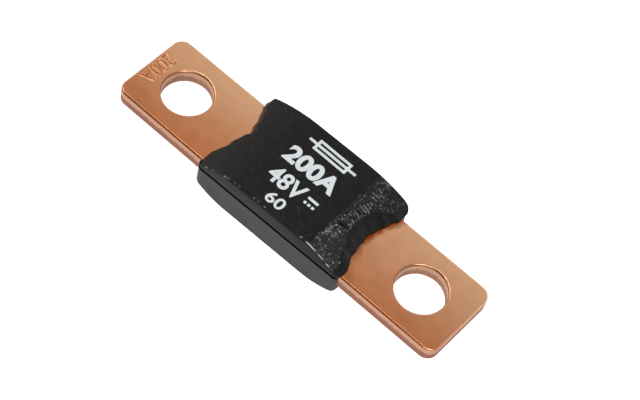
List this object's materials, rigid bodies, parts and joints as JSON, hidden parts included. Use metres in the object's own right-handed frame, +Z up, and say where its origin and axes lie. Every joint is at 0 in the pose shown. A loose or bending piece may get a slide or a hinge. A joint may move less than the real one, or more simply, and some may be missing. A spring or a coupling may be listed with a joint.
{
  "type": "bolt down strip fuse",
  "caption": "Flat copper strip with a stud hole at each end and a fusible link in the middle, held in an arched black moulded housing.",
  "frame": {"origin": "midway between the two stud holes, on the underside of the strip, which is its seating plane", "axes": "+X along the strip, +Y across it, +Z up through the stud holes towards the printed cover"},
  "size_m": [0.0684, 0.0189, 0.0093],
  "materials": {
    "copper": "satin, bare copper with rolled edges",
    "tin": "dull cast tin",
    "tray_moulding": "fine moulded black",
    "cover_moulding": "black with a low sheen, rough where it was welded"
  },
  "bodies": {
    "root": {"fuse_strip": "copper", "tin_pill": "tin", "lower_housing": "tray_moulding", "upper_housing": "cover_moulding"}
  },
  "joints": []
}
